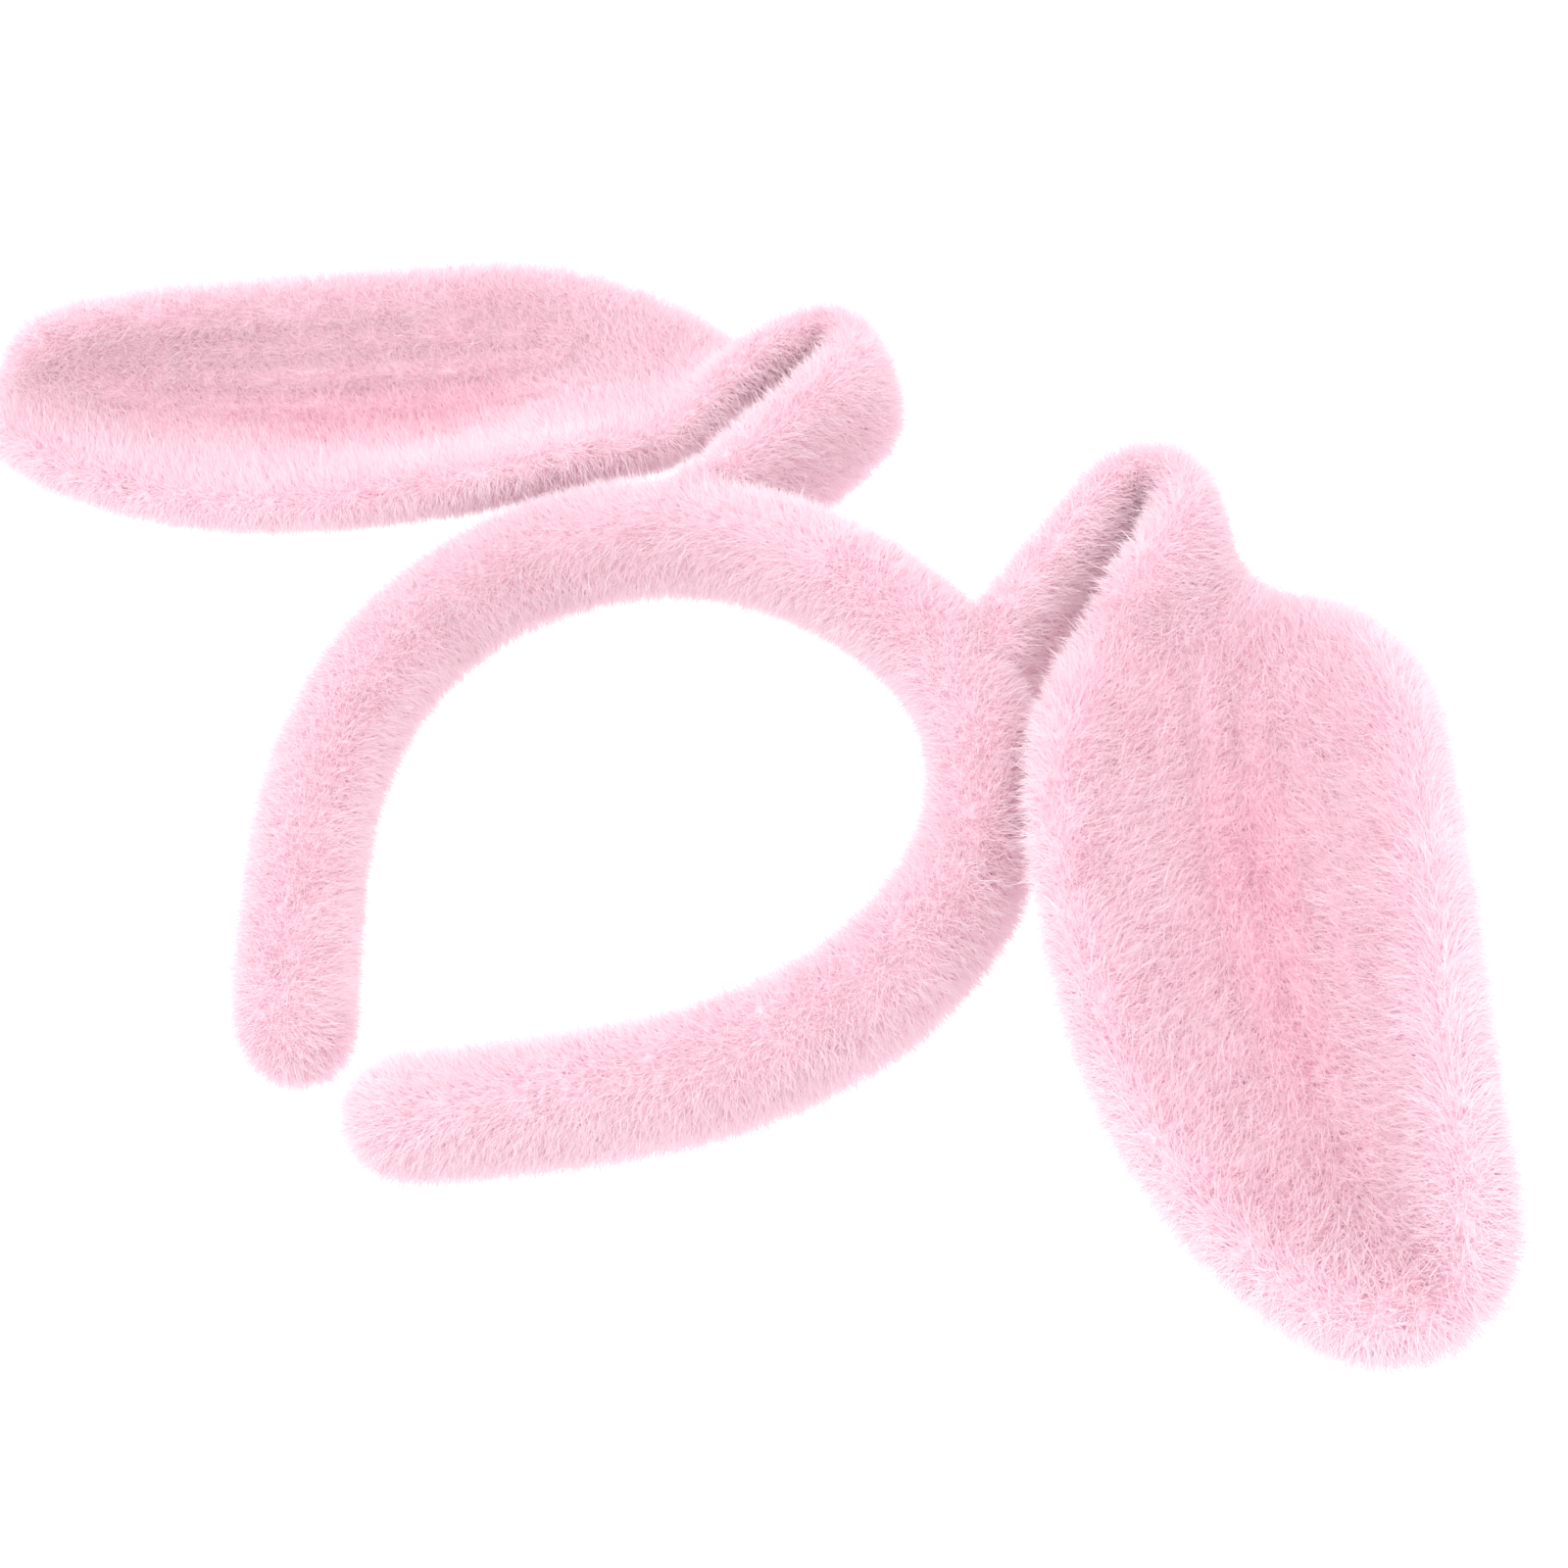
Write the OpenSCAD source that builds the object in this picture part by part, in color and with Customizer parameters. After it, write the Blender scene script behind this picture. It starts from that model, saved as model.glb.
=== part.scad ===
// Bunny ears headband: a plush-covered sprung band with two folded, wired plush ears.
// Millimetres. The origin is on the inner face at the crown, where the head touches it.
// +Z points away from the head, +X to the wearer's left ear side, -Y to the front.

/* [Band] */
// Width of the plush sleeve, front to back
sleeve_w = 19; // [16:0.5:24]
// Thickness of the plush sleeve
sleeve_t = 12; // [11:0.5:14]
// Thickness of the sleeve's cloth with its flattened pile
sleeve_wall = 1.6; // [1:0.1:2]
// Width of the plastic strip inside the band
strip_w = 10; // [6:0.5:12]
// Thickness of the plastic strip
strip_t = 1.5; // [1.2:0.1:2]

/* [Ears] */
// Distance from the crown's middle to an ear's root
ear_x = 37.5; // [34:0.5:41]
// How far an ear's root sits behind the band's middle
ear_back = 4; // [0:0.5:6]
// Half the width of an ear at its root
root_half_w = 12; // [10:0.5:14]
// Height from the root's hem to the start of the fold
root_len = 40; // [30:1:50]
// Lean of the root towards the crown, in degrees
root_lean = 4; // [0:1:8]
// Radius of the fold at the middle of the sheet
fold_r = 7; // [7:0.5:10]
// How far the flap is folded over, in degrees
fold_turn = 136.5; // [115:0.5:140]
// Length of the flap from the fold to its tip
flap_len = 179.5; // [150:0.5:200]
// Half the width of the flap's cloth at its widest
flap_half_w = 34.5; // [32:0.5:42]
// Half the width of the flap's blunt tip
tip_half_w = 7; // [3:0.5:9]
// Half angle of the flap's hollow across its width, in degrees
flap_cup = 52.5; // [40:0.5:85]
// Twist that turns the flap's hollow to the front, in degrees
flap_twist = 78; // [60:1:90]

/* [Ear layers] */
// Half the space between the two cloth panels
core_half_t = 2; // [1.6:0.1:2.2]
// Thickness of each plush panel
panel_t = 1.3; // [1:0.1:1.4]
// Radius of the bendable wire in the rim
wire_r = 0.6; // [0.4:0.1:0.7]
// Radius of the sewn seam along the rim
seam_r = 0.5; // [0.4:0.1:0.6]

/* [Hidden] */

plush_color = "pink";
wadding_color = "white";
strip_color = "lightgray";
wire_color = "silver";
seam_color = "palevioletred";

gap = 0.05;          // between layers of one body
move_gap = 0.3;      // between soft bodies that move
round_fn = 48;

// The band's middle line, from the crown to a tip: tangent arcs as [radius, degrees].
arcs = [[92, 18.5], [58, 39.5], [50, 51], [82, 24.5], [350, 6.5]];
ear_arc = 1;
pivot_arc = 2;                   // the arms flex where this arc starts
knuckle_r = sleeve_t / 2 + 2;
foam_gap = 0.15;
foam_w = sleeve_w - 2 * (sleeve_wall + foam_gap);
foam_t = sleeve_t - 2 * (sleeve_wall + foam_gap);
strip_offset = -0.8;             // the strip lies a little towards the head
pad_edge = 0.05;                 // thickness of a foam pad at its sides
seam_slit = 0.05;                // half the sleeve's closing slit
band_seam_r = 0.5;
side_n = 7;                      // facets round a sleeve's side
pad_n = 3;                       // facets round a foam pad's side
crown_n = 11;                    // rings along half the crown
arm_n = 13;                      // rings along an arm
dome_n = 5;                      // rings round a tip

hem_r = 4.5;                     // the ear's rolled hem, its pivot on the band
hem_rise = 1.5;                  // of the hem's middle above the sleeve
hem_gap = 0.05;
seam_gap = 0.2;                  // between a rim's seam and the panels
fold_knuckle_r = 5;
rim_u = 0.92;                    // where the wire runs, as a share of the half width
widest_v = 0.39;                 // where the flap is widest, along its length
tip_power = 2;                   // how blunt the flap's outline is
cup_run = 0.35;                  // the share of the flap over which its hollow forms
tip_cup = 13.5;                  // how much more it curls near the tip
twist_run = 0.2;                 // the share of the flap over which it turns
slow_twist = 35;                 // and how much further it turns by the tip
across_n = 10;                   // facets across a panel
root_n = 9;                      // rings along a root
flap_n = 28;                     // rings along a flap
tube_n = 6;                      // sides of a wire or seam

// ---- The band ----
// A point on the band is given by s, its distance from the crown, x, its height over the
// middle line, away from the head, and y, its place across.
function turned(angle) = [sin(angle), 0, cos(angle)];
function start_angle(i) = i == 0 ? 0 : start_angle(i - 1) + arcs[i - 1][1];
function start_s(i) = i == 0 ? 0 : start_s(i - 1) + arcs[i - 1][0] * arcs[i - 1][1] * PI / 180;
function centre(i) = i == 0
    ? [0, 0, sleeve_t / 2 - arcs[0][0]]
    : centre(i - 1) + (arcs[i - 1][0] - arcs[i][0]) * turned(start_angle(i));
arc_centres = [for (i = [0:len(arcs) - 1]) centre(i)];
arc_angles = [for (i = [0:len(arcs) - 1]) start_angle(i)];
arc_starts = [for (i = [0:len(arcs) - 1]) start_s(i)];
band_len = start_s(len(arcs));
function arc_at(s, i = 4) = s >= arc_starts[i] || i == 0 ? i : arc_at(s, i - 1);
function half_point(s, x, y) = let (i = arc_at(s),
    a = arc_angles[i] + (s - arc_starts[i]) / arcs[i][0] * 180 / PI)
    arc_centres[i] + (arcs[i][0] + x) * turned(a) + [0, y, 0];
function band_point(s, x, y) = s >= 0 ? half_point(s, x, y)
    : let (p = half_point(-s, x, y)) [-p[0], p[1], p[2]];

// Distance along a sheet bent to radius bend at which a layer at height x leaves a circle
// of radius r round the sheet's middle.
function circle_cut(r, bend, x) = let (q = bend + x)
    bend * PI / 180 * acos((q * q + bend * bend - r * r) / (2 * bend * q));

arm_s = arc_starts[pivot_arc];
function crown_s(t, x) = t * (arm_s + circle_cut(knuckle_r, arcs[pivot_arc][0], x));
function arm_s_at(t, x, stop) =
    let (a = arm_s + circle_cut(knuckle_r + move_gap, arcs[pivot_arc][0], x))
    a + (band_len - stop - a) * t;

// Skins a stack of rings of equal length. Each ring runs out over one face and back under
// the other, so its two ends are closed by strips. Both faces of a layer are split along
// the same diagonals, so that layers nest.
module skin(rings) {
    n = len(rings);
    k = len(rings[0]);
    walls = [for (i = [0:n - 2], j = [0:k - 1]) let (a = i * k + j, b = i * k + (j + 1) % k)
        each j < k / 2 ? [[a, b, b + k], [a, b + k, a + k]] : [[a, b, a + k], [b, b + k, a + k]]];
    first = [for (j = [0:k / 2 - 2]) let (p = k - 1 - j) each [[j, p, p - 1], [j, p - 1, j + 1]]];
    top = (n - 1) * k;
    last = [for (j = [0:k / 2 - 2]) let (p = top + k - 1 - j, q = top + j)
        each [[q, p - 1, p], [q, q + 1, p - 1]]];
    polyhedron(points = [for (ring = rings) each ring], faces = concat(walls, first, last), convexity = 8);
}

// Sections are lists of [x, y]. A stadium's round side, from its top at 0 to its foot at 180.
function side_arc(t, w, side, a0, a1, n = side_n) = [for (k = [0:n]) let (a = a0 + (a1 - a0) * k / n)
    [t / 2 * cos(a), side * ((w - t) / 2 + t / 2 * sin(a))]];
function stadium_loop(t, w) = concat([[-t / 2, -seam_slit]], side_arc(t, w, -1, 180, 0),
    side_arc(t, w, 1, 0, 180), [[-t / 2, seam_slit]]);
function reversed(list) = [for (i = [len(list) - 1:-1:0]) list[i]];
function pad(t, w, x, foot) = let (a = acos(2 * x / t),
    edge = concat(side_arc(t, w, -1, a, foot, pad_n), side_arc(t, w, 1, foot, a, pad_n)),
    back = x + (foot == 0 ? -1 : 1) * pad_edge)
    concat(edge, reversed([for (p = edge) [back, p[1]]]));

sleeve_section = concat(stadium_loop(sleeve_t, sleeve_w),
    reversed(stadium_loop(sleeve_t - 2 * sleeve_wall, sleeve_w - 2 * sleeve_wall)));
outer_pad = pad(foam_t, foam_w, strip_offset + strip_t / 2 + gap + pad_edge, 0);
inner_pad = reversed(pad(foam_t, foam_w, strip_offset - strip_t / 2 - gap - pad_edge, 180));
strip_section = [for (q = [[1, -1], [1, 1], [-1, 1], [-1, -1]])
    [strip_offset + q[0] * strip_t / 2, q[1] * strip_w / 2]];
// The seam is a cord along the sleeve's face towards the head.
band_seam_section = [for (j = [0:tube_n - 1]) let (a = (j + 0.5) * 360 / tube_n)
    [-sleeve_t / 2 - band_seam_r - gap + band_seam_r * cos(a), band_seam_r * sin(a)]];

module crown_layer(section) {
    skin([for (i = [-crown_n:crown_n]) [for (q = section)
        band_point(crown_s(i / crown_n, q[0]), q[0], q[1])]]);
}
// How far a round end of length r narrows at a distance d along it.
function dome(d, r) = max(0.06, sqrt(max(0, 1 - pow(d / r, 2))));
// An arm's layer, with a round end where round_end gives its length.
module arm_layer(section, stop = 0, round_end = 0, inner_end = 0) {
    half = len(section) / 2;
    straight = [for (i = [0:arm_n]) [for (q = section)
        band_point(arm_s_at(i / arm_n, q[0], stop), q[0], q[1])]];
    rounded = round_end == 0 ? [] : [for (i = [1:dome_n]) let (d = round_end * sin(90 * i / dome_n) * 0.99)
        [for (j = [0:len(section) - 1])
            let (f = dome(d, j < half || inner_end == 0 ? round_end : inner_end))
            band_point(band_len + d, section[j][0] * sqrt(f), section[j][1] * f)]];
    skin(concat(straight, rounded));
}

module crown_strip() { color(strip_color) crown_layer(strip_section); }
module crown_foam() {
    color(wadding_color) {
        crown_layer(outer_pad);
        crown_layer(inner_pad);
    }
}
module crown_sleeve() { color(plush_color) crown_layer(sleeve_section); }
module crown_seam() { color(seam_color) crown_layer(band_seam_section); }

module to_side(side) {
    mirror([side > 0 ? 0 : 1, 0, 0]) children();
}
module arm_strip(side) {
    color(strip_color) to_side(side) arm_layer(strip_section, 1);
}
module arm_foam(side) {
    color(wadding_color) to_side(side) {
        arm_layer(outer_pad, 0, foam_w / 2);
        arm_layer(inner_pad, 0, foam_w / 2);
    }
}
module arm_sleeve(side) {
    color(plush_color) to_side(side)
        arm_layer(sleeve_section, 0, sleeve_w / 2, sleeve_w / 2 - sleeve_wall);
}
module arm_seam(side) {
    color(seam_color) to_side(side) arm_layer(band_seam_section);
}

// ---- The ear's sheet ----
// A point on an ear is given by s, its distance up the ear, u, its place across from
// -1 at the front edge to 1 at the back edge, and m, its height over the sheet's middle.
function smooth(t) = let (c = min(max(t, 0), 1)) c * c * (3 - 2 * c);
function unit(v) = v / norm(v);

fold_len = fold_r * fold_turn * PI / 180;
apex_s = root_len + fold_len / 2;        // the flap's pivot
flap_s = root_len + fold_len;
ear_len = flap_s + flap_len;
line_n = 60;
droop = [25, -43.5];                       // the flap dips and then rises to its tip
swing = [-20, -2];                       // the flap swings to the front

hem_bend = arcs[ear_arc][0] + sleeve_t / 2 + hem_rise;
hem_angle = asin((ear_x - arc_centres[ear_arc][0]) / hem_bend);
ear_base = arc_centres[ear_arc] + hem_bend * turned(hem_angle) + [0, ear_back, 0];
function heading(v) = fold_turn - root_lean + droop[0] * v + droop[1] * v * v;
function yaw(v) = swing[0] * v + swing[1] * v * v;
function flap_dir(v) = let (a = heading(v), b = yaw(v))
    [sin(a) * cos(b), sin(b), cos(a) * cos(b)];
function across_fold(angle) = [-cos(angle), 0, sin(angle)];

fold_start = ear_base + root_len * turned(-root_lean);
fold_centre = fold_start - fold_r * across_fold(-root_lean);
fold_end = fold_centre + fold_r * across_fold(fold_turn - root_lean);
flap_line = [
    for (i = 0, p = fold_end; i <= line_n;
         p = p + flap_len / line_n * flap_dir((i + 0.5) / line_n), i = i + 1) p
];

function flap_v(s) = min(max((s - flap_s) / flap_len, 0), 1);
function line_point(s) =
    let (q = min(max((s - flap_s) / flap_len, 0), 1) * line_n, i = min(floor(q), line_n - 1))
    flap_line[i] + (q - i) * (flap_line[i + 1] - flap_line[i])
        + max(s - ear_len, 0) * flap_dir(1);
function fold_angle(s) = (s - root_len) / fold_r * 180 / PI - root_lean;
function spine(s) = s < root_len ? ear_base + s * turned(-root_lean)
    : s < flap_s ? fold_centre + fold_r * across_fold(fold_angle(s))
    : line_point(s);
function spine_dir(s) = s < root_len ? turned(-root_lean)
    : s < flap_s ? turned(fold_angle(s))
    : flap_dir(flap_v(s));

function half_width(s) = let (v = flap_v(s))
    s < flap_s ? root_half_w + smooth(s / flap_s)
    : v < widest_v
        ? root_half_w + 1 + (flap_half_w - root_half_w - 1) * smooth(v / widest_v)
    : tip_half_w + (flap_half_w - tip_half_w)
        * sqrt(max(0, 1 - pow((v - widest_v) / (1 - widest_v), tip_power)));
function cup(s) = let (v = flap_v(s))
    0.5 + flap_cup * smooth(v / cup_run) + tip_cup * smooth(v * 3 - 2);
function twist(s) = let (v = flap_v(s))
    flap_twist * smooth(v / twist_run) + slow_twist * v;
function thin(s) = min(1, half_width(s) / 12);

function sheet_normal(s, u) = let (
    t = spine_dir(s), w0 = unit([0, 1, 0] - t[1] * t), n0 = cross(t, w0), a = twist(s),
    w = w0 * cos(a) + n0 * sin(a), n = n0 * cos(a) - w0 * sin(a), f = cup(s) * u)
    n * cos(f) - w * sin(f);
function sheet_point(s, u, m) = let (
    t = spine_dir(s), w0 = unit([0, 1, 0] - t[1] * t), n0 = cross(t, w0), a = twist(s),
    w = w0 * cos(a) + n0 * sin(a), n = n0 * cos(a) - w0 * sin(a), f = cup(s) * u,
    r = half_width(s) / (cup(s) * PI / 180))
    spine(s) + w * (r * sin(f)) + n * (r * (1 - cos(f))) + m * (n * cos(f) - w * sin(f));

// Where a layer at height m crosses the hem's and the fold's pivot circles.
function hem_cut(r, m) = sqrt(r * r - m * m);
function fold_cut(r, m) = circle_cut(r, fold_r, m);

// A layer starts clear of the circle at height foot, and ends inside it at height m.
function root_s(t, foot, m) =
    let (a = hem_cut(hem_r + move_gap, foot), b = apex_s + fold_cut(fold_knuckle_r, m))
    a + (b - a) * (0.4 * t + 0.6 * sin(90 * t));
function flap_step(t) = 0.35 * t + 0.65 * (1 - cos(180 * t)) / 2;
function flap_s_at(t, foot) = let (a = apex_s + fold_cut(fold_knuckle_r + move_gap, foot))
    a + (ear_len - a) * flap_step(t);

// Half the thickness of the space between the panels, and of the whole ear, at u.
function core_h(u) = max(0.12, core_half_t * sqrt(max(0, 1 - pow(abs(u), 4))));
function ear_h(u) = core_h(u) + panel_t * (1 - 0.35 * pow(abs(u), 4));

across = [for (j = [0:across_n]) let (t = 2 * j / across_n - 1) 0.6 * sin(90 * t) + 0.4 * t];
// One layer's section as [u, m] pairs: the front panel for face 1, the back panel for -1,
// and the wadding between them for 0.
function layer(face) = face == 0
    ? concat([for (u = across) [u, core_h(u) - gap]], [for (u = -across) [u, gap - core_h(u)]])
    : face > 0
    ? concat([for (u = across) [u, ear_h(u)]], [for (u = -across) [u, core_h(u)]])
    : concat([for (u = across) [u, -core_h(u)]], [for (u = -across) [u, -ear_h(u)]]);

module root_layer(face) {
    skin([for (i = [0:root_n]) [for (q = layer(face))
        sheet_point(root_s(i / root_n, face == 0 ? 0 : q[1], q[1]), q[0], q[1])]]);
}
// The wadding's start is square and clear of the whole circle, and it stops one ring short.
module flap_layer(face) {
    skin([for (i = [0:flap_n - (face == 0 ? 1 : 0)]) [for (q = layer(face))
        let (s = flap_s_at(i / flap_n, face == 0 ? -core_half_t : q[1]))
        sheet_point(s, q[0], q[1] * thin(s))]]);
}

// A thin tube along [s, u] places on the sheet.
module edge_tube(places, r) {
    points = [for (p = places) sheet_point(p[0], p[1], 0)];
    n = len(points);
    skin([for (i = [0:n - 1]) let (
        dir = unit(points[min(i + 1, n - 1)] - points[max(i - 1, 0)]),
        up = unit(sheet_normal(places[i][0], places[i][1])),
        side = unit(cross(up, dir)), over = cross(dir, side))
        [for (j = [0:tube_n - 1]) let (a = -(j + 0.5) * 360 / tube_n)
            points[i] + r * (cos(a) * over + sin(a) * side)]]);
}

function beyond(s) = 1 + (seam_r + seam_gap) / half_width(s);
root_edge = [for (i = [0:root_n]) root_s(i / root_n, 0, seam_r)];
flap_edge = [for (i = [0:flap_n]) flap_s_at(i / flap_n, 0)];

module ear_hem(side) {
    color(plush_color) to_side(side) difference() {
        translate(ear_base)
            rotate([90, 0, 0])
                cylinder(r = hem_r, h = 2 * root_half_w - 2, center = true, $fn = round_fn);
        translate(arc_centres[ear_arc])
            rotate([90, 0, 0])
                rotate_extrude($fn = 4 * round_fn)
                    translate([arcs[ear_arc][0], 0]) {
                        square([sleeve_t + 2 * hem_gap, sleeve_w - sleeve_t], center = true);
                        for (side = [-1, 1])
                            translate([0, side * (sleeve_w - sleeve_t) / 2])
                                circle(d = sleeve_t + 2 * hem_gap, $fn = round_fn);
                    }
    }
}
module root_front(side) { color(plush_color) to_side(side) root_layer(1); }
module root_back(side) { color(plush_color) to_side(side) root_layer(-1); }
module root_wadding(side) { color(wadding_color) to_side(side) root_layer(0); }
module root_wire(side) {
    color(wire_color) to_side(side)
        for (edge = [-1, 1]) edge_tube([for (s = root_edge) [s, edge * rim_u]], wire_r);
}
module root_seam(side) {
    color(seam_color) to_side(side)
        for (edge = [-1, 1]) edge_tube([for (s = root_edge) [s, edge * beyond(s)]], seam_r);
}
module flap_front(side) { color(plush_color) to_side(side) flap_layer(1); }
module flap_back(side) { color(plush_color) to_side(side) flap_layer(-1); }
module flap_wadding(side) { color(wadding_color) to_side(side) flap_layer(0); }
// The wire runs up one rim, turns back short of the tip and runs down the other.
module flap_wire(side) {
    run = [for (s = flap_edge) if (s < ear_len - 5) s];
    turn_s = ear_len - 4;
    color(wire_color) to_side(side)
        edge_tube(concat([for (s = run) [s, -rim_u]],
                         [for (u = [-0.8:0.2:0.8]) [turn_s + 1 - abs(u), u]],
                         [for (s = reversed(run)) [s, rim_u]]), wire_r);
}
module flap_seam(side) {
    color(seam_color) to_side(side)
        edge_tube(concat([for (s = flap_edge) [s, -beyond(s)]],
                         [for (u = [-1.15:0.46:1.16]) [ear_len + seam_r + seam_gap, u]],
                         [for (s = reversed(flap_edge)) [s, beyond(s)]]), seam_r);
}

crown_strip();
crown_foam();
crown_sleeve();
crown_seam();
arm_strip(1);  // left_arm_strip
arm_foam(1);  // left_arm_foam
arm_sleeve(1);  // left_arm_sleeve
arm_seam(1);  // left_arm_seam
arm_strip(-1);  // right_arm_strip
arm_foam(-1);  // right_arm_foam
arm_sleeve(-1);  // right_arm_sleeve
arm_seam(-1);  // right_arm_seam
ear_hem(1);  // left_ear_hem
root_front(1);  // left_root_front
root_back(1);  // left_root_back
root_wadding(1);  // left_root_wadding
root_wire(1);  // left_root_wire
root_seam(1);  // left_root_seam
flap_front(1);  // left_flap_front
flap_back(1);  // left_flap_back
flap_wadding(1);  // left_flap_wadding
flap_wire(1);  // left_flap_wire
flap_seam(1);  // left_flap_seam
ear_hem(-1);  // right_ear_hem
root_front(-1);  // right_root_front
root_back(-1);  // right_root_back
root_wadding(-1);  // right_root_wadding
root_wire(-1);  // right_root_wire
root_seam(-1);  // right_root_seam
flap_front(-1);  // right_flap_front
flap_back(-1);  // right_flap_back
flap_wadding(-1);  // right_flap_wadding
flap_wire(-1);  // right_flap_wire
flap_seam(-1);  // right_flap_seam
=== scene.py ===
import math
import bmesh
import bpy
import numpy
from mathutils import Euler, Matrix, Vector
from mathutils.bvhtree import BVHTree


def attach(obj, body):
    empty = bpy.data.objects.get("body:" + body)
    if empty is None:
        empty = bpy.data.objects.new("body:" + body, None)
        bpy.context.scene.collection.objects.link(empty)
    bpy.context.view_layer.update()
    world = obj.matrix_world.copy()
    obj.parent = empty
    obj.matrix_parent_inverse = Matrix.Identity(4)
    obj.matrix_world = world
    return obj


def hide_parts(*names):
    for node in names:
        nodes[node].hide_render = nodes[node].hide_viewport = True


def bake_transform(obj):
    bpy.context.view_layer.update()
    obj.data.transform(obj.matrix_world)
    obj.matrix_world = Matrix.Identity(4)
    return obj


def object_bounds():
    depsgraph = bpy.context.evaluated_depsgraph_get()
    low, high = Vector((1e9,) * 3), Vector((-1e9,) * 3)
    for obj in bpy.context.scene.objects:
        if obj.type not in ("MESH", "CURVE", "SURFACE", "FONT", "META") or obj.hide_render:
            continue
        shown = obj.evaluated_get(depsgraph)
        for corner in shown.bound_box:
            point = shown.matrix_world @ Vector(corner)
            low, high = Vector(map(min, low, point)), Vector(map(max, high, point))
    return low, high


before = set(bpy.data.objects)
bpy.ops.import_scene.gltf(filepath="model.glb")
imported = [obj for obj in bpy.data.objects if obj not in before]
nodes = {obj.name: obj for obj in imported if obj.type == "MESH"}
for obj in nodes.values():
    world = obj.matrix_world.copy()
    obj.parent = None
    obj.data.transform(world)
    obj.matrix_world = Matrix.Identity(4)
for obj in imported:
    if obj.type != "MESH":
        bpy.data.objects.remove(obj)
cadLow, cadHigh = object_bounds()
scene = bpy.context.scene
mm = 0.001
tiny = 1e-6                                  # keeps a division from failing
sides = {"left": 1, "right": -1}             # the wearer's left is +X


shot = {
    "at": (252.6, -306.5, -163.1),           # mm
    "turn": (114.92, -41.63, 19.62),         # degrees
    "lens": 51.7,
    "near": 0.01,                            # metres
    "far": 20,
}
studio = {
    "sky": 1.27,
    "bounces": 10,                           # light scatters many times in a pale pile
    "keySize": 0.9,
    "keyPower": 3,
    "keyFrom": (-0.62, 0.62, 0.5),           # in the camera's own axes
    "keyFar": 1.1,                           # metres, as are the floor's sizes
    "floorDown": 1.5,
    "floorRadius": 4.0,
    "floorSides": 96,
    "floorGrain": 3.0,
    "floorDark": (0.90, 0.90, 0.90, 1),
    "floorLight": (0.94, 0.94, 0.94, 1),
}


def makeCamera():
    data = bpy.data.cameras.new("camera")
    data.lens = shot["lens"]
    data.clip_start, data.clip_end = shot["near"], shot["far"]
    camera = bpy.data.objects.new("camera", data)
    camera.location = Vector(shot["at"]) * mm
    camera.rotation_euler = [math.radians(a) for a in shot["turn"]]
    scene.collection.objects.link(camera)
    scene.camera = camera


def link(name, mesh):
    made = bpy.data.objects.new(name, mesh)
    scene.collection.objects.link(made)
    return made


class Wire:
    # a node's output that takes part in ordinary arithmetic
    def __init__(self, graph, socket):
        self.graph, self.socket = graph, socket

    def math(self, operation, a, b):
        return self.graph.node("ShaderNodeMath", {"operation": operation}, {0: a, 1: b})

    def out(self, name):
        return Wire(self.graph, self.socket.node.outputs[name])

    def __add__(self, other):
        return self.math("ADD", self, other)

    def __radd__(self, other):
        return self.math("ADD", other, self)

    def __sub__(self, other):
        return self.math("SUBTRACT", self, other)

    def __rsub__(self, other):
        return self.math("SUBTRACT", other, self)

    def __mul__(self, other):
        return self.math("MULTIPLY", self, other)

    def __rmul__(self, other):
        return self.math("MULTIPLY", other, self)

    def __pow__(self, other):
        return self.math("POWER", self, other)


class Graph:
    def __init__(self, tree):
        self.tree = tree

    # settings go on first, because they can change which sockets there are
    def node(self, kind, settings=None, sockets=None, output=0):
        made = self.tree.nodes.new(kind)
        for key, value in (settings or {}).items():
            setattr(made, key, value)
        for key, value in (sockets or {}).items():
            if isinstance(value, Wire):
                self.tree.links.new(value.socket, made.inputs[key])
            else:
                made.inputs[key].default_value = value
        return Wire(self, made.outputs[output]) if made.outputs else made

    def vector(self, operation, *values, output=0):
        inputs = dict(enumerate(values))
        if operation == "SCALE":
            inputs = {0: values[0], "Scale": values[1]}
        return self.node("ShaderNodeVectorMath", {"operation": operation}, inputs, output)

    def colour(self, share, a, b):
        return self.node("ShaderNodeMix", {"data_type": "RGBA"}, {0: share, 6: a, 7: b}, 2)

    # where the shaded point is on the object, in metres
    def place(self):
        return self.node("ShaderNodeTexCoord", output=3)

    def noise(self, place, scale, **more):
        return self.node("ShaderNodeTexNoise", {}, {"Vector": place, "Scale": scale, **more})

    def attribute(self, name):
        return self.node("ShaderNodeAttribute", {"attribute_name": name}, output=2)

    def bump(self, height, look):
        return self.node("ShaderNodeBump", {}, {
            "Height": height, "Strength": look["relief"], "Distance": look["deep"] * mm})


def newMaterial(name, settings):
    material = bpy.data.materials.new(name)
    material.use_nodes = True
    graph = Graph(material.node_tree)
    shader = material.node_tree.nodes["Principled BSDF"]
    for key, value in settings.items():
        shader.inputs[key].default_value = value
    return material, graph, shader


def plug(graph, shader, **wires):
    for key, wire in wires.items():
        graph.tree.links.new(wire.socket, shader.inputs[key.replace("_", " ")])


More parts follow.
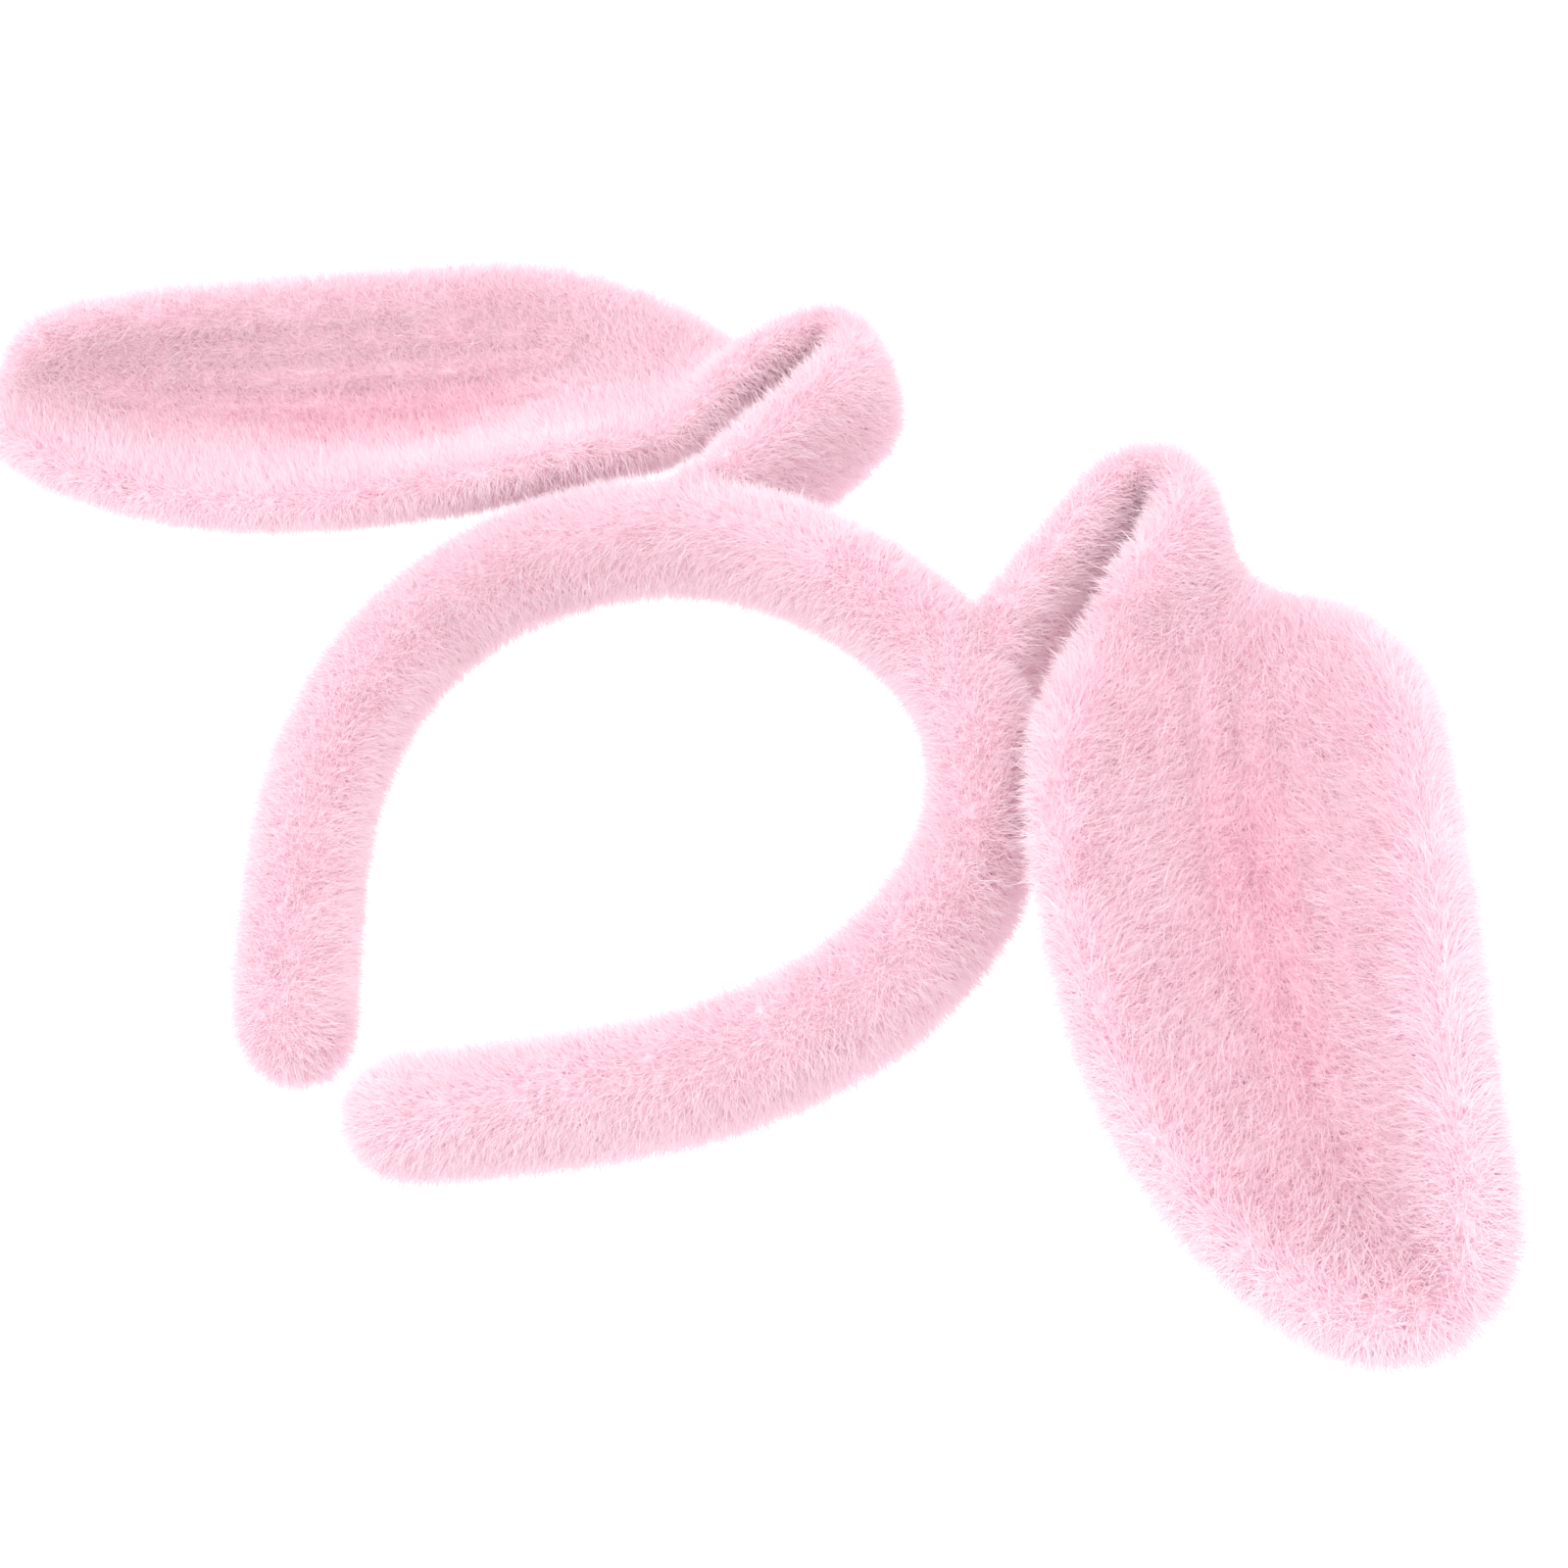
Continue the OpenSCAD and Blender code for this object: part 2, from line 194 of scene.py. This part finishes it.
def makeStudio():
    world = bpy.data.worlds.new("studio")
    scene.world = world
    world.use_nodes = True
    background = world.node_tree.nodes["Background"]
    background.inputs["Color"].default_value = (1, 1, 1, 1)
    background.inputs["Strength"].default_value = studio["sky"]
    light = bpy.data.lights.new("key", "AREA")
    light.shape, light.size, light.energy = "DISK", studio["keySize"], studio["keyPower"]
    key = bpy.data.objects.new("key", light)
    scene.collection.objects.link(key)
    turn = Euler([math.radians(a) for a in shot["turn"]]).to_matrix()
    toLight = (turn @ Vector(studio["keyFrom"])).normalized()
    centre = (cadLow + cadHigh) / 2
    key.location = centre + toLight * studio["keyFar"]
    key.rotation_euler = toLight.to_track_quat("Z", "Y").to_euler()
    bm = bmesh.new()
    bmesh.ops.create_circle(bm, cap_ends=True, segments=studio["floorSides"],
                            radius=studio["floorRadius"])
    bmesh.ops.translate(bm, verts=bm.verts, vec=(0, 0, -studio["floorDown"]))
    mesh = bpy.data.meshes.new("floor")
    bm.to_mesh(mesh)
    floor = link("floor", mesh)
    material, graph, shader = newMaterial("floor", {"Roughness": 0.8})
    grain = graph.noise(graph.place(), studio["floorGrain"])
    shade = graph.colour(grain, studio["floorDark"], studio["floorLight"])
    plug(graph, shader, Base_Color=shade)
    mesh.materials.append(material)
    scene.view_settings.view_transform = "Standard"
    scene.cycles.diffuse_bounces = studio["bounces"]
    scene.cycles.max_bounces = studio["bounces"] + 2


makeCamera()
makeStudio()
print("camera, light and floor")


# patterns are in repeats per metre, and the depth of a relief in mm
plushLook = {
    "root": (0.983, 0.826, 0.885, 1),
    "tip": (0.986, 0.866, 0.910, 1),
    "tipCurve": 0.6,
    "hollow": (0.970, 0.715, 0.80, 1),       # painted shade in the dished fronts; the random tone patches lean to this colour too
    "hollowShare": 0.45,
    "patches": 22.0,
    "patchShare": 0.3,
    "strand": (0.95, 0.9, 0.93, 1),          # the palest hairs lean to this
    "strandShare": 0.12,
    "sheen": 0.1,
    "knit": 1400.0,
    "relief": 0.4,
    "deep": 0.3,
    "rough": 0.78,
    "spread": 0.14,
}


def plushMaterial():
    look = plushLook
    material, graph, shader = newMaterial("plush", {
        "Specular IOR Level": 0.15, "Sheen Weight": look["sheen"], "Sheen Roughness": 0.6})
    spot = graph.place()
    patch = graph.noise(spot, look["patches"], Detail=3.0, Roughness=0.6)
    shade = graph.colour(graph.attribute("tip") ** look["tipCurve"], look["root"], look["tip"])
    # random tone patches, plus painted shade where the front is dished
    patchesAndDishShade = patch * look["patchShare"] + graph.attribute("hollow") * look["hollowShare"]
    shade = graph.colour(patchesAndDishShade, shade, look["hollow"])
    shade = graph.colour(graph.attribute("strand") * look["strandShare"], shade, look["strand"])
    plug(graph, shader, Base_Color=shade, Normal=graph.bump(graph.noise(spot, look["knit"]), look),
         Roughness=look["rough"] + patch * look["spread"])
    return material


# colours and gloss that follow a pattern, and a relief that follows a height
def finish(graph, shader, look, pattern, height):
    plug(graph, shader, Base_Color=graph.colour(pattern, look["dark"], look["light"]),
         Normal=graph.bump(height, look), Roughness=look["rough"] + pattern * look["spread"])


threadLook = {
    "dark": (0.80, 0.36, 0.52, 1), "light": (0.95, 0.55, 0.70, 1), "lay": 900.0,
    "relief": 0.6, "deep": 0.1, "rough": 0.55, "spread": 0.2,
}


def threadMaterial():
    material, graph, shader = newMaterial("thread", {"Sheen Weight": 0.3})
    twist = graph.node("ShaderNodeTexWave", {"bands_direction": "DIAGONAL"}, {
        "Vector": graph.place(), "Scale": threadLook["lay"], "Distortion": 2.0}, 1)
    finish(graph, shader, threadLook, twist, twist)
    return material


foamLook = {
    "dark": (0.78, 0.74, 0.62, 1), "light": (0.95, 0.93, 0.84, 1), "cells": 1100.0,
    "relief": 0.7, "deep": 0.3, "rough": 0.95, "spread": -0.1,
}


def foamMaterial():
    material, graph, shader = newMaterial("foam", {})
    cells = graph.node("ShaderNodeTexVoronoi", {}, {
        "Vector": graph.place(), "Scale": foamLook["cells"]})
    finish(graph, shader, foamLook, cells, cells)
    return material


waddingLook = {
    "dark": (0.80, 0.79, 0.77, 1), "light": (0.97, 0.97, 0.95, 1), "fibres": 260.0,
    "relief": 0.8, "deep": 0.5, "rough": 0.9, "spread": 0.1,
}


def waddingMaterial():
    material, graph, shader = newMaterial("wadding", {"Sheen Weight": 0.4})
    stretched = graph.node("ShaderNodeMapping", {}, {"Vector": graph.place(), "Scale": (1, 4, 4)})
    fibres = graph.noise(stretched, waddingLook["fibres"], Detail=6.0, Distortion=1.5)
    finish(graph, shader, waddingLook, fibres, fibres)
    return material


stripLook = {
    "dark": (0.80, 0.80, 0.78, 1), "light": (0.90, 0.90, 0.89, 1), "haze": 60.0,
    "mould": 1600.0, "relief": 0.25, "deep": 0.05, "rough": 0.28, "spread": 0.25,
}


def stripMaterial():
    material, graph, shader = newMaterial("strip", {"Coat Weight": 0.1})
    spot = graph.place()
    haze = graph.noise(spot, stripLook["haze"], Detail=5.0)
    finish(graph, shader, stripLook, haze, graph.noise(spot, stripLook["mould"]))
    return material


wireLook = {
    "dark": (0.50, 0.50, 0.52, 1), "light": (0.72, 0.72, 0.73, 1), "drawn": 700.0,
    "relief": 0.2, "deep": 0.03, "rough": 0.22, "spread": 0.3,
}


def wireMaterial():
    material, graph, shader = newMaterial("wire", {"Metallic": 1.0})
    drawn = graph.noise(graph.place(), wireLook["drawn"], Detail=4.0)
    finish(graph, shader, wireLook, drawn, drawn)
    return material


plush = plushMaterial()
innerMaterials = {
    "seam": threadMaterial(),
    "foam": foamMaterial(),
    "wadding": waddingMaterial(),
    "strip": stripMaterial(),
    "wire": wireMaterial(),
}
for nodeName, node in nodes.items():
    kind = nodeName.rsplit("_", 1)[1]
    node.data.materials.clear()
    node.data.materials.append(innerMaterials.get(kind, plush))
print("materials on", len(nodes), "frame nodes")


cloth = {
    "earVoxel": 1.3,                         # mm, as are all lengths here
    "bandVoxel": 1.4,
    "smooth": 4,                             # passes
    "pressure": 4.0,
    "quality": 4,
    "frames": 20,
    "earRise": 1.2,                          # the most that stuffing lifts the cloth
    "bandRise": 0.5,
    "backing": 1.3,                          # the knit that the pile grows out of
    "gap": 7.0,                              # kept open between two facing folds
    "clear": 0.3,                            # so that a point doesn't meet its own faces
    "seamNear": 0.5,                         # held still by the seam, and free of it
    "seamFar": 3.0,
    "hemHigh": 10.0,                         # the root's foot, sewn into the hem
    "hemOut": 42.0,
    "rimWide": 9.0,                          # the raised rim round the dished front
    "dishFull": 31.0,                        # where the dish is deepest, from the edge seam
    "dishFrom": 65.0,                        # it starts this far out from the middle
    "dishTo": 105.0,
    "dishDeep": 2.1,
    "dishPile": 0.2,                         # how much shorter the pile is in the dish
    "cleftPile": 0.4,                        # and where two folds face each other
}


def settled(obj):
    graph = bpy.context.evaluated_depsgraph_get()
    return bpy.data.meshes.new_from_object(obj.evaluated_get(graph))


def points(mesh):
    flat = numpy.zeros(len(mesh.vertices) * 3)
    mesh.vertices.foreach_get("co", flat)
    return flat.reshape(-1, 3)


def normals(mesh):
    flat = numpy.zeros(len(mesh.vertices) * 3)
    mesh.vertex_normals.foreach_get("vector", flat)
    return flat.reshape(-1, 3)


def shape(mesh, places):
    mesh.vertices.foreach_set("co", places.ravel())
    mesh.update()


def joined(*names):
    bm = bmesh.new()
    for name in names:
        start = len(bm.verts)
        bm.from_mesh(nodes[name].data)
        bm.verts.ensure_lookup_table()
        bmesh.ops.remove_doubles(bm, verts=bm.verts[start:], dist=0.001 * mm)
    mesh = bpy.data.meshes.new("joined")
    bm.to_mesh(mesh)
    bm.free()
    return mesh


def treeOf(mesh):
    bm = bmesh.new()
    bm.from_mesh(mesh)
    tree = BVHTree.FromBMesh(bm)
    bm.free()
    return tree


def finder(*names):
    return treeOf(joined(*names))


def biggestIsland(bm):
    left, islands = set(bm.verts), []
    while left:
        island, edge = set(), [left.pop()]
        while edge:
            vert = edge.pop()
            island.add(vert)
            near = {e.other_vert(vert) for e in vert.link_edges} & left
            left -= near
            edge.extend(near)
        islands.append(island)
    islands.sort(key=len)
    for island in islands[:-1]:
        bmesh.ops.delete(bm, geom=list(island), context="VERTS")


def remeshed(name, mesh, voxel):
    obj = link(name, mesh)
    remesh = obj.modifiers.new("voxels", "REMESH")
    remesh.mode, remesh.voxel_size = "VOXEL", voxel * mm
    obj.data = settled(obj)
    obj.modifiers.clear()
    bm = bmesh.new()
    bm.from_mesh(obj.data)
    biggestIsland(bm)
    for _ in range(cloth["smooth"]):
        bmesh.ops.smooth_vert(bm, verts=bm.verts, factor=0.5, use_axis_x=True,
                              use_axis_y=True, use_axis_z=True)
    bm.to_mesh(obj.data)
    bm.free()
    return obj


# inflates the cloth while the pinned places keep still
def stuffed(obj, rise, pinned):
    before = points(obj.data)
    pins = obj.vertex_groups.new(name="pins")
    for i, share in enumerate(pinned):
        pins.add([i], float(share), "REPLACE")
    modifier = obj.modifiers.new("stuffing", "CLOTH")
    setup = modifier.settings
    setup.quality = cloth["quality"]
    setup.use_pressure = True
    setup.uniform_pressure_force = cloth["pressure"]
    setup.effector_weights.gravity = 0
    setup.vertex_group_mass = "pins"
    modifier.point_cache.frame_start = 1
    modifier.point_cache.frame_end = cloth["frames"]
    for number in range(1, cloth["frames"] + 1):
        scene.frame_set(number)
    after = points(settled(obj))
    obj.modifiers.clear()
    obj.vertex_groups.clear()
    scene.frame_set(1)
    move = after - before
    far = numpy.linalg.norm(move, axis=1)[:, None]
    print("  stuffing moved", obj.name, "by up to", round(far.max() / mm, 2), "mm")
    shape(obj.data, before + move * numpy.minimum(1, rise * mm / numpy.maximum(far, tiny)))


# lifts the surface to the top of the knit, less where it faces another part of itself
def backed(obj):
    places, out = points(obj.data), normals(obj.data)
    tree = treeOf(obj.data)
    backing, gap = cloth["backing"] * mm, cloth["gap"] * mm
    reach = gap + 2 * backing
    lift = numpy.zeros(len(places))
    for i, (place, way) in enumerate(zip(places, out)):
        start = Vector(place) + Vector(way) * cloth["clear"] * mm
        room = tree.ray_cast(start, Vector(way), reach)[3] or reach
        lift[i] = min(backing, max(0, room - gap) / 2)
    shape(obj.data, places + out * lift[:, None])
    return lift / backing


def smoothstep(value, low, high):
    t = numpy.clip((value - low) / (high - low), 0, 1)
    return t * t * (3 - 2 * t)


def bySeam(fromSeam):
    return 1 - smoothstep(fromSeam, cloth["seamNear"], cloth["seamFar"])


def distances(tree, places):
    return numpy.array([tree.find_nearest(place)[3] for place in places]) / mm


def store(mesh, name, values, domain="POINT"):
    kind, field = ("FLOAT", "value") if values.ndim == 1 else ("FLOAT_VECTOR", "vector")
    mesh.attributes.new(name, kind, domain).data.foreach_set(field, values.ravel())


def earCloth(side):
    parts = [f"{side}_{part}_{layer}" for part in ("root", "flap")
             for layer in ("front", "back", "wadding", "seam")]
    obj = remeshed(f"{side}_ear_plush", joined(*parts), cloth["earVoxel"])
    places = points(obj.data)
    fromSeam = distances(finder(f"{side}_root_seam", f"{side}_flap_seam"), places)
    foot = places[:, 2] < cloth["hemHigh"] * mm
    foot &= abs(places[:, 0]) < cloth["hemOut"] * mm
    stuffed(obj, cloth["earRise"], numpy.where(foot, 1, bySeam(fromSeam)))
    places = points(obj.data)
    toFront = distances(finder(f"{side}_root_front", f"{side}_flap_front"), places)
    toBack = distances(finder(f"{side}_root_back", f"{side}_flap_back"), places)
    front = (toFront < toBack).astype(float)
    room = backed(obj)
    places = points(obj.data)
    dish = front * smoothstep(fromSeam, cloth["rimWide"], cloth["dishFull"])
    dish *= smoothstep(abs(places[:, 0]) / mm, cloth["dishFrom"], cloth["dishTo"])
    shape(obj.data, places - normals(obj.data) * dish[:, None] * cloth["dishDeep"] * mm)
    pile = (1 - cloth["dishPile"] * dish) * (1 - cloth["cleftPile"] * (1 - room))
    store(obj.data, "pile", pile)
    # painted shade: the dish mask, cubed, darkens the plush colour in the dished front
    store(obj.data, "hollow", dish ** 3)
    store(obj.data, "front", front)
    obj.data.shade_smooth()
    return obj


def bandHalf(side):
    parts = [f"{part}_{layer}" for part in ("crown", f"{side}_arm")
             for layer in ("sleeve", "foam", "strip", "seam")]
    obj = remeshed(f"{side}_band_plush", joined(*parts, f"{side}_ear_hem"), cloth["bandVoxel"])
    places = points(obj.data)
    fromSeam = distances(finder("crown_seam", f"{side}_arm_seam"), places)
    stuffed(obj, cloth["bandRise"], bySeam(fromSeam))
    backed(obj)
    store(obj.data, "pile", numpy.ones(len(places)))
    bm = bmesh.new()
    bm.from_mesh(obj.data)
    cut = bmesh.ops.bisect_plane(bm, geom=bm.verts[:] + bm.edges[:] + bm.faces[:],
                                 plane_co=(0, 0, 0), plane_no=(sides[side], 0, 0),
                                 clear_inner=True)["geom_cut"]
    rim = [e for e in cut if isinstance(e, bmesh.types.BMEdge)]
    bmesh.ops.edgeloop_fill(bm, edges=rim)
    bmesh.ops.recalc_face_normals(bm, faces=bm.faces)
    bm.to_mesh(obj.data)
    bm.free()
    obj.data.shade_smooth()
    return obj


ears = {side: earCloth(side) for side in sides}
bands = {side: bandHalf(side) for side in sides}
print("cloth", {o.name: len(o.data.polygons) for o in (*ears.values(), *bands.values())})


fur = {
    "perSquare": 5.9,                        # hairs to the square millimetre
    "long": 4.6,                             # mm
    "thick": 0.13,                           # radius at the root
    "stand": 0.75,                           # how far hairs stand up, follow the nap,
    "nap": 0.3,                              # swirl, gather into tufts and stray
    "swirl": 0.9,
    "tuft": 0.22,
    "stray": 0.5,
    "swirlWide": 11.0,
    "tuftWide": 2.0,
    "short": 0.6,                            # the shortest hair's share of the length
    "wisp": 0.6,                             # how much longer the few wisps are
    "wispFew": 14,
    "soft": 2.4,                             # how far a hair is lit as the cloth under it
    "seeds": {"left": 11, "right": 23},
}


def furTree(seed, region):
    tree = bpy.data.node_groups.new("fur", "GeometryNodeTree")
    for way in ("INPUT", "OUTPUT"):
        tree.interface.new_socket("Geometry", in_out=way, socket_type="NodeSocketGeometry")
    graph = Graph(tree)

    def named(name, kind="FLOAT"):
        return graph.node("GeometryNodeInputNamedAttribute", {"data_type": kind}, {"Name": name})

    def stored(name, geometry, value, **settings):
        return graph.node("GeometryNodeStoreNamedAttribute", settings, {
            "Geometry": geometry, "Name": name, "Value": value})

    def chance(number, low=0.0):
        sockets = {2: low, 3: 1.0, "Seed": seed * 10 + number}
        return graph.node("FunctionNodeRandomValue", {"data_type": "FLOAT"}, sockets, 1)

    emitter = graph.node("NodeGroupInput")
    here = graph.node("FunctionNodeCompare", {"data_type": "FLOAT", "operation": "EQUAL"},
                      {0: named("region"), 1: float(region), "Epsilon": 0.1})
    dots = graph.node("GeometryNodeDistributePointsOnFaces", {}, {
        "Mesh": emitter, "Selection": here, "Density": fur["perSquare"] / mm ** 2, "Seed": seed})
    out = dots.out("Normal")
    place = graph.node("GeometryNodeInputPosition")
    tuft = graph.node("ShaderNodeTexVoronoi", {}, {
        "Vector": place, "Scale": 1 / (fur["tuftWide"] * mm)}).out("Position")
    toTuft = graph.vector("SUBTRACT", tuft, place)
    outward = graph.vector("DOT_PRODUCT", toTuft, out, output="Value")
    toTuft = graph.vector("SUBTRACT", toTuft, graph.vector("SCALE", out, outward))
    gather = graph.vector("SCALE", toTuft, fur["tuft"] * 2 / (fur["tuftWide"] * mm))
    nap = graph.vector("SCALE", named("nap", "FLOAT_VECTOR"), fur["nap"])
    anyWay = graph.node("FunctionNodeRandomValue", {"data_type": "FLOAT_VECTOR"}, {
        0: (-1, -1, -1), 1: (1, 1, 1), "Seed": seed * 10 + 1})
    stray = graph.vector("SCALE", anyWay, fur["stray"])
    drift = graph.node("ShaderNodeTexNoise", {}, {
        "Vector": place, "Scale": 1 / (fur["swirlWide"] * mm), "Detail": 2.0}, 1)
    swirl = graph.vector("SCALE", graph.vector("SUBTRACT", drift, (0.5, 0.5, 0.5)),
                         fur["swirl"])
    way = graph.vector("SCALE", out, fur["stand"])
    for push in (nap, swirl, gather, stray):
        way = graph.vector("ADD", way, push)
    way = graph.vector("NORMALIZE", way)
    turn = graph.node("FunctionNodeAlignRotationToVector", {"axis": "Z"}, {"Vector": way})
    wisp = chance(4) ** fur["wispFew"] * fur["wisp"]
    size = (chance(2, fur["short"]) + wisp) * named("pile")
    scale = graph.node("ShaderNodeCombineXYZ", {}, {
        0: fur["thick"] * mm, 1: fur["thick"] * mm, 2: size * (fur["long"] * mm)})
    hair = graph.node("GeometryNodeMeshCone", {"fill_type": "NGON"}, {
        "Vertices": 3, "Radius Top": 0.0, "Radius Bottom": 1.0, "Depth": 1.0})
    height = graph.node("ShaderNodeSeparateXYZ", {}, {0: place}, 2)
    hair = stored("tip", hair, height, data_type="FLOAT")
    roots = stored("lay", dots, out, data_type="FLOAT_VECTOR")
    hairs = graph.node("GeometryNodeInstanceOnPoints", {}, {
        "Points": roots, "Instance": hair, "Rotation": turn, "Scale": scale})
    hairs = stored("strand", hairs, chance(3), data_type="FLOAT", domain="INSTANCE")
    hairs = graph.node("GeometryNodeRealizeInstances", {}, {"Geometry": hairs})
    own = graph.node("GeometryNodeInputNormal")
    soft = graph.vector("ADD", graph.vector("SCALE", named("lay", "FLOAT_VECTOR"),
                                            fur["soft"]), own)
    hairs = graph.node("GeometryNodeSetMeshNormal", {"mode": "FREE", "domain": "POINT"}, {
        "Mesh": hairs, "Custom Normal": graph.vector("NORMALIZE", soft)})
    graph.node("NodeGroupOutput", {}, {0: hairs})
    return tree


def grow(name, emitter, seed, region):
    modifier = emitter.modifiers.new("fur", "NODES")
    modifier.node_group = furTree(seed, region)
    mesh = settled(emitter)
    emitter.modifiers.clear()
    for stale in ("pile", "nap", "region", "front", "lay"):
        if stale in mesh.attributes:
            mesh.attributes.remove(mesh.attributes[stale])
    mesh.materials.clear()
    mesh.materials.append(plush)
    piece = link(name, mesh)
    return piece


combed = {
    "seamNear": 1.5,                         # mm
    "seamFar": 5.0,
    "overSeam": 0.9,                         # how strongly, against the rest of the pile
    "headLow": 80.0,                         # the band's pile runs round this low centre
    "foldNear": 36.0,                        # up the root, then out along the flap
    "foldFar": 44.0,
    "flapBack": -0.15,
    "flapDown": -0.35,
}


def along(places, way, outward):
    way = way - outward * (way * outward).sum(1)[:, None]
    return way / numpy.maximum(numpy.linalg.norm(way, axis=1), tiny)[:, None]


# close to a seam the pile is brushed across it, from one panel over the other
def brushed(places, way, outward, seam, forward):
    found = [seam.find_nearest(place) for place in places]
    to = numpy.array([hit[0] for hit in found]) - places
    to *= numpy.where(forward, 1, -1)[:, None]
    far = numpy.array([hit[3] for hit in found]) / mm
    near = (1 - smoothstep(far, combed["seamNear"], combed["seamFar"]))[:, None]
    to = along(places, to, outward) * combed["overSeam"]
    return way * (1 - near) + to * near


def bandNap(obj):
    places = points(obj.data)
    x, z = places[:, 0], places[:, 2]
    way = numpy.stack([numpy.sign(x) * (z + combed["headLow"] * mm), x * 0, -abs(x)], 1)
    outward = normals(obj.data)
    seam = finder("crown_seam", "left_arm_seam", "right_arm_seam")
    way = brushed(places, along(places, way, outward), outward, seam, places[:, 1] < 0)
    store(obj.data, "nap", way)


def earNap(obj, side, front):
    places = points(obj.data)
    out = smoothstep(abs(places[:, 0]) / mm, combed["foldNear"], combed["foldFar"])[:, None]
    flapWay = numpy.array([[sides[side], combed["flapBack"], combed["flapDown"]]])
    way = numpy.array([[0, 0, 1.0]]) * (1 - out) + flapWay * out
    outward = normals(obj.data)
    seam = finder(f"{side}_root_seam", f"{side}_flap_seam")
    way = brushed(places, along(places, way, outward), outward, seam, front > 0.5)
    store(obj.data, "nap", way)


# where one piece of pile ends and the next begins, on the left side
parting = {"arm": 48, "foldLow": 44, "rootOut": 43, "foldIn": 37.5, "foldOut": 47, "outer": 118}
bald = 9                                     # the band's cut face grows nothing


def region(obj, label):
    values = numpy.array([label(p.center / mm, p) for p in obj.data.polygons], float)
    store(obj.data, "region", values, domain="FACE")


def bandRegion(at, face):
    return bald if len(face.vertices) > 4 else int(abs(at.x) > parting["arm"])


def earRegions(front):
    def label(at, face):
        x, low = abs(at.x), at.z < parting["foldLow"]
        if x < (parting["rootOut"] if low else parting["foldIn"]):
            return 0
        if x < parting["foldOut"] and not low:
            return 1
        facing = front[list(face.vertices)].mean() > 0.5
        return (2 if facing else 4) + (x > parting["outer"])
    return label


flapParts = ("front_inner", "front_outer", "back_inner", "back_outer")
furPieces = []
for side in sides:
    band, ear = bands[side], ears[side]
    bandNap(band)
    region(band, bandRegion)
    front = numpy.array([d.value for d in ear.data.attributes["front"].data])
    earNap(ear, side, front)
    region(ear, earRegions(front))
    seed = fur["seeds"][side]
    bandFur = [grow(f"{side}_{part}_fur", band, seed + 7 + i, i)
               for i, part in enumerate(("crown", "arm"))]
    rootFur = grow(f"{side}_root_fur", ear, seed + 1, 0)
    foldFur = grow(f"{side}_fold_fur", ear, seed + 2, 1)
    flapFur = [grow(f"{side}_flap_{part}_fur", ear, seed + 3 + i, 2 + i)
               for i, part in enumerate(flapParts)]
    furPieces.append((side, bandFur, rootFur, foldFur, flapFur))
    for piece in (*bandFur, rootFur, foldFur, *flapFur):
        piece.data.calc_loop_triangles()
        print("  ", piece.name, len(piece.data.loop_triangles), "triangles")
print("fur")


for side, bandFur, rootFur, foldFur, flapFur in furPieces:
    for piece in (bands[side], *bandFur):
        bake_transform(piece)
    for piece in (ears[side], foldFur):
        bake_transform(piece)
    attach(rootFur, f"{side}_ear_root")
    for piece in flapFur:
        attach(piece, f"{side}_ear_flap")
    for piece in (bands[side], ears[side]):
        piece.data.materials.clear()
        piece.data.materials.append(plush)
    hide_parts(f"{side}_arm_sleeve", f"{side}_ear_hem")
    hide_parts(*(f"{side}_{part}_{face}" for part in ("root", "flap")
                              for face in ("front", "back")))
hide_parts("crown_sleeve")
